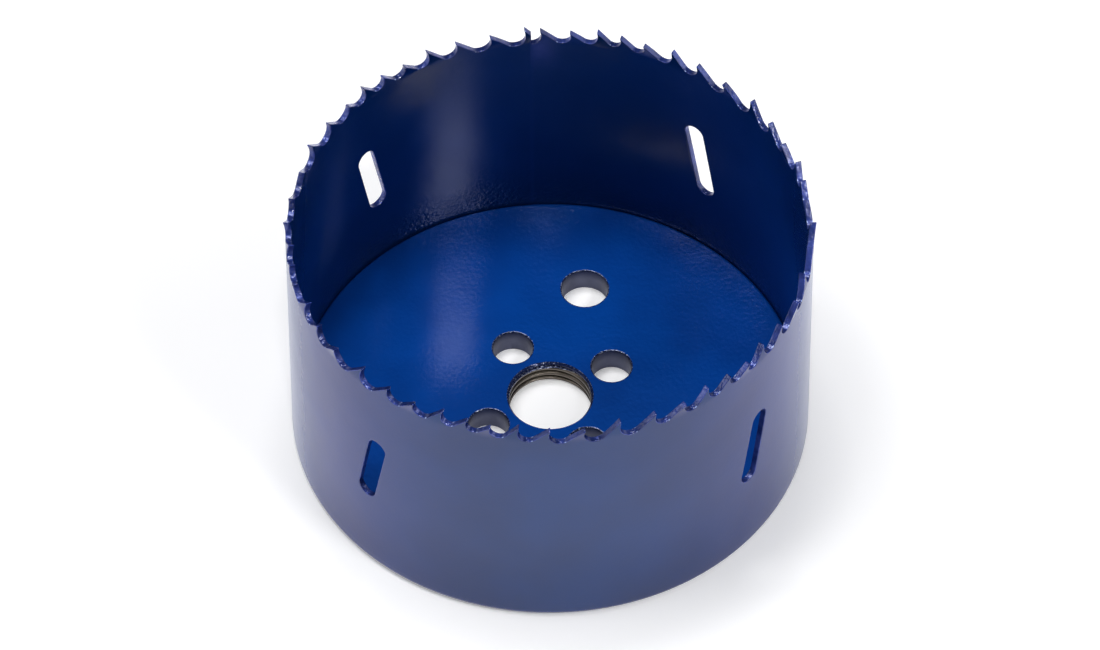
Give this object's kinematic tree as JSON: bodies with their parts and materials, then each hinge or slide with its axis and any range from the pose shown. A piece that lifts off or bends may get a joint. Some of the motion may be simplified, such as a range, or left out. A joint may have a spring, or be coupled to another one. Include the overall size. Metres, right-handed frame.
{
  "type": "hole saw",
  "caption": "Cup-shaped hole saw: a toothed steel ring with slanted slots, welded to a thick base plate with a threaded arbor bore and drive-pin holes.",
  "frame": {"origin": "centre of the underside of the base plate, on the arbor bore's axis", "axes": "+Z along the axis, from the base plate towards the teeth; the butt seam of the ring is near +Y; the teeth cut counter-clockwise seen from +Z"},
  "size_m": [0.092, 0.0915, 0.051],
  "materials": {
    "band": "gloss lacquer",
    "base_plate": "gloss lacquer, bare steel thread"
  },
  "bodies": {
    "root": {"band": "band", "base_plate": "base_plate"}
  },
  "joints": []
}
